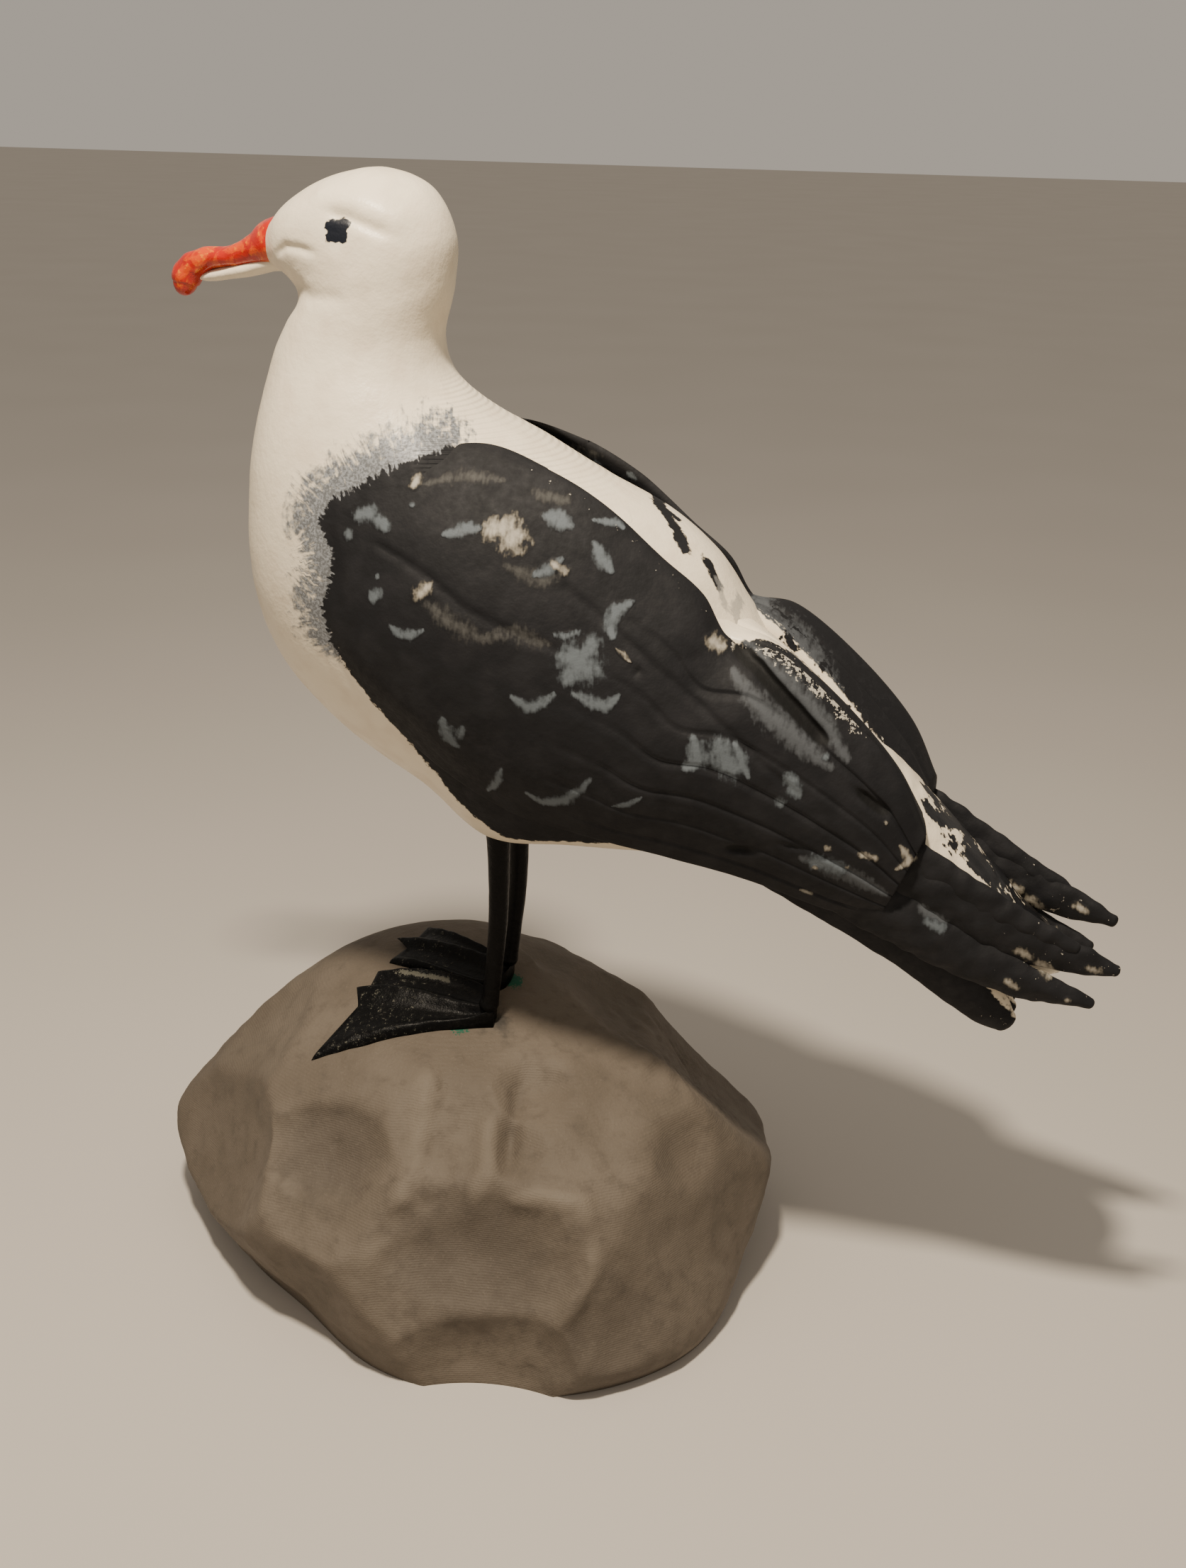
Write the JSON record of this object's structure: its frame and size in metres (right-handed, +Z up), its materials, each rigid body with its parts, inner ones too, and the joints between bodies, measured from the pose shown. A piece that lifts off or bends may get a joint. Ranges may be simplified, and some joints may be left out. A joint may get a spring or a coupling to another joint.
{
  "type": "seagull sculpture",
  "caption": "Small hand-painted gull figurine standing on webbed feet on a rounded rock base, wings folded along its back.",
  "frame": {"origin": "middle of the rock's flat underside", "axes": "+Z up; the gull faces -X, its middle plane is the XZ plane and its left side is -Y"},
  "size_m": [0.1049, 0.0598, 0.118],
  "materials": {
    "gull": "hand-painted in white, charcoal and orange, satin",
    "rock": "painted taupe, matte"
  },
  "bodies": {
    "root": {"gull": "gull", "rock": "rock"}
  },
  "joints": []
}
